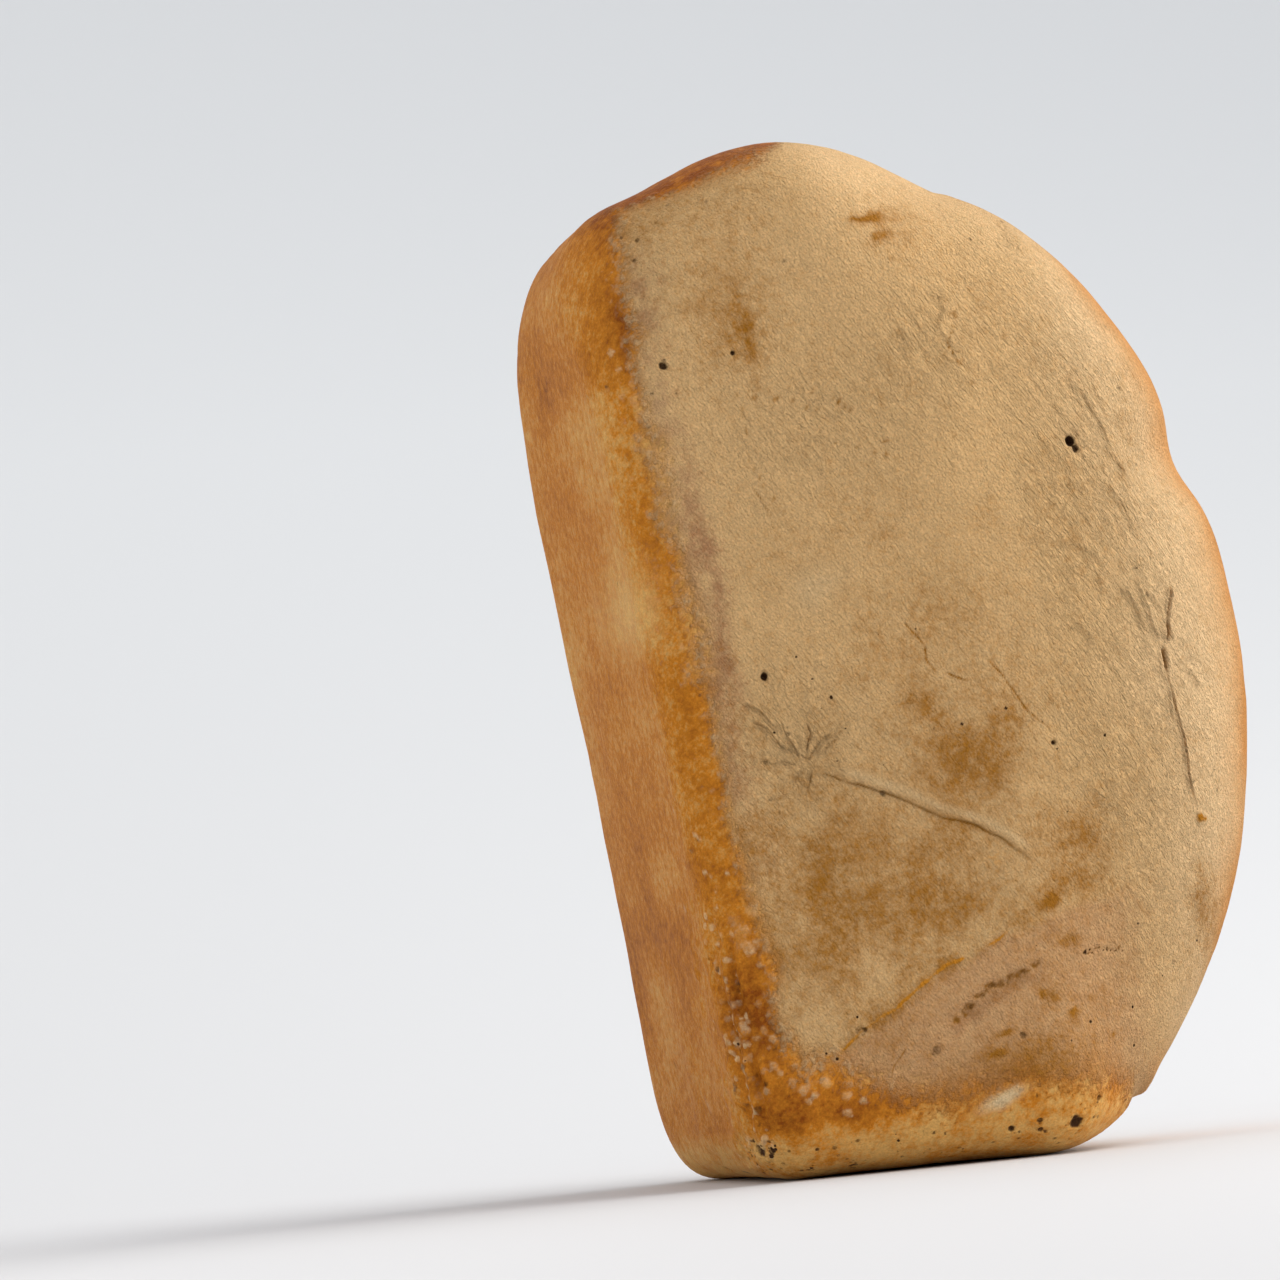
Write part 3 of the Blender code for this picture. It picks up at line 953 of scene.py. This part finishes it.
    shader.inputs["Specular IOR Level"].default_value = 0.06
    bump = node(
        tree, "Bump", {"Height": grains["relief"], "Strength": 1.0, "Distance": 0.0013}
    )
    tree.links.new(bump, shader.inputs["Normal"])
    return material


class TINLOAF_OT_bake_crust(bpy.types.Operator):
    """Build the loaf's crust in place of the plain solid"""

    bl_idname = "tinloaf.bake_crust"
    bl_label = "Bake the crust"

    def execute(self, context):
        settings = context.scene.loaf_crust
        bm = bmesh.new()
        bmesh.ops.create_cube(bm, size=2.0)
        for axis, rows in enumerate(ROWS):
            split_along(bm, axis, rows)
        cut_finer(bm, on_near_side)
        cut_finer(bm, on_marked_wall)
        cut_finer(bm, on_drawn_mark)
        cut_finer(bm, on_thin_line)
        points = loaf_points(np.array([vert.co[:] for vert in bm.verts]))
        crust = Crust(points)
        bake_crust(crust)
        raise_crust(crust, settings)

        smooth = turned_to_foot(points)
        low, high = (np.array(corner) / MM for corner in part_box("loaf"))
        shift = (low + high) / 2.0 - (smooth.min(axis=0) + smooth.max(axis=0)) / 2.0
        shift[2] = low[2] - smooth[:, 2].min()
        raised = points + crust.relief()[:, None] * outward(points)
        stood = turned_to_foot(raised) + shift
        stood[:, 2] = np.maximum(stood[:, 2], low[2])
        for vert, place in zip(bm.verts, stood * MM):
            vert.co = place
        bmesh.ops.recalc_face_normals(bm, faces=bm.faces)
        for face in bm.faces:
            face.smooth = True
        mesh = bpy.data.meshes.new("tin_loaf_crust")
        bm.to_mesh(mesh)
        bm.free()
        for name, values in crust.tints.items():
            field = mesh.attributes.new(name, "FLOAT", "POINT")
            field.data.foreach_set("value", values.astype(np.float32))
        mesh.materials.append(crust_material(settings))
        piece = bpy.data.objects.new("tin_loaf_crust", mesh)
        context.scene.collection.objects.link(piece)
        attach(piece, "root")
        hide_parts("loaf")
        return {"FINISHED"}


def soft_light(name, power, size, place, target, colour):
    """A square soft light at a place, turned to face the target."""
    data = bpy.data.lights.new(name, "AREA")
    data.energy, data.size, data.color = power, size, colour
    light = bpy.data.objects.new(name, data)
    bpy.context.scene.collection.objects.link(light)
    light.location = place
    light.rotation_euler = (target - place).to_track_quat("-Z", "Y").to_euler()


class TINLOAF_OT_set_stage(bpy.types.Operator):
    """Set the seamless floor, the soft lights and the camera"""

    bl_idname = "tinloaf.set_stage"
    bl_label = "Set the stage"

    def execute(self, context):
        settings = context.scene.loaf_stage
        low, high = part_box("loaf")
        middle = (low + high) / 2.0

        bm = bmesh.new()
        bmesh.ops.create_grid(bm, x_segments=2, y_segments=160, size=FLOOR_HALF)
        for vert in bm.verts:
            back = max(0.0, vert.co.y - FLOOR_RISE_START)
            vert.co.z = low.z + FLOOR_RISE * back**2
        bmesh.ops.recalc_face_normals(bm, faces=bm.faces)
        for face in bm.faces:
            face.smooth = True
            if face.normal.z < 0:
                face.normal_flip()
        mesh = bpy.data.meshes.new("seamless_floor")
        bm.to_mesh(mesh)
        bm.free()
        paper = bpy.data.materials.new("matt white studio paper")
        paper.use_nodes = True
        tree = paper.node_tree
        shader = tree.nodes["Principled BSDF"]
        # The paper is painted a little paler where it rises behind the loaf: a painted
        # brightening of the backdrop that stands in for light there.
        place = node(tree, "TexCoord", output="Object")
        depth = node(tree, "SeparateXYZ", {0: place}, output="Y")
        behind = node(tree, "MapRange", {0: depth, 1: 0.2, 2: 2.0})
        paler = node(
            tree, "Mix",
            {0: behind, 6: (*settings.floor, 1.0), 7: (*settings.backdrop, 1.0)},
            output=2, data_type="RGBA",
        )
        tree.links.new(paler, shader.inputs["Base Color"])
        shader.inputs["Roughness"].default_value = 0.7
        mesh.materials.append(paper)
        floor = bpy.data.objects.new("seamless_floor", mesh)
        context.scene.collection.objects.link(floor)

        world = bpy.data.worlds.new("soft studio light")
        world.use_nodes = True
        tree = world.node_tree
        background = tree.nodes["Background"]
        background.inputs["Color"].default_value = (*settings.sky, 1.0)
        # The room is brightest up and to the right, and dims to the left.
        ahead = node(tree, "TexCoord", output="Generated")
        facing = node(
            tree, "VectorMath", {0: ahead, 1: (0.72, 0.22, 0.66)},
            output="Value", operation="DOT_PRODUCT",
        )
        strength = node(
            tree, "MapRange",
            {0: facing, 1: -0.8, 2: 0.9, 3: 0.36 * settings.fill, 4: 1.45 * settings.fill},
        )
        tree.links.new(strength, background.inputs["Strength"])
        context.scene.world = world
        for name, power, size, offset, colour in (
            ("large light", settings.key, KEY_SIZE, KEY_PLACE, KEY_COLOUR),
            ("base light", settings.glint, GLINT_SIZE, GLINT_PLACE, GLINT_COLOUR),
        ):
            soft_light(name, power, size, middle + offset, middle, colour)

        data = bpy.data.cameras.new("camera")
        data.lens = settings.lens
        camera = bpy.data.objects.new("camera", data)
        context.scene.collection.objects.link(camera)
        bearing, rise = settings.azimuth, settings.elevation
        ahead = Vector((sin(bearing) * cos(rise), cos(bearing) * cos(rise), sin(rise)))
        level = ahead.cross(Vector((0.0, 0.0, 1.0))).normalized()
        upright = level.cross(ahead)
        right = level * cos(settings.roll) - upright * sin(settings.roll)
        up = right.cross(ahead)
        turn = Matrix((right, up, -ahead)).transposed()
        # The loaf stands to the right of the view's middle, and a touch below it.
        camera.matrix_world = Matrix.Translation(
            middle - ahead * settings.distance - right * VIEW_ASIDE - up * VIEW_BELOW
        ) @ turn.to_4x4()
        context.scene.camera = camera
        context.scene.view_settings.view_transform = "Standard"
        return {"FINISHED"}


class TINLOAF_PT_panel(bpy.types.Panel):
    """The loaf's sizes, colours and operators"""

    bl_idname = "TINLOAF_PT_panel"
    bl_label = "Tin Loaf"
    bl_space_type = "VIEW_3D"
    bl_region_type = "UI"
    bl_category = "Tin Loaf"

    def draw(self, context):
        for group, operator in (
            (context.scene.loaf_crust, TINLOAF_OT_bake_crust),
            (context.scene.loaf_stage, TINLOAF_OT_set_stage),
        ):
            box = self.layout.box()
            for name in group.bl_rna.properties.keys():
                if name not in {"rna_type", "name"}:
                    box.prop(group, name)
            box.operator(operator.bl_idname)


CLASSES = (
    LoafCrustSettings,
    LoafStageSettings,
    TINLOAF_OT_bake_crust,
    TINLOAF_OT_set_stage,
    TINLOAF_PT_panel,
)


def register():
    for cls in CLASSES:
        bpy.utils.register_class(cls)
    bpy.types.Scene.loaf_crust = bpy.props.PointerProperty(type=LoafCrustSettings)
    bpy.types.Scene.loaf_stage = bpy.props.PointerProperty(type=LoafStageSettings)


def unregister():
    del bpy.types.Scene.loaf_stage
    del bpy.types.Scene.loaf_crust
    for cls in reversed(CLASSES):
        bpy.utils.unregister_class(cls)


def main():
    register()
    bpy.ops.tinloaf.bake_crust()
    bpy.ops.tinloaf.set_stage()


if __name__ == "__main__":
    main()
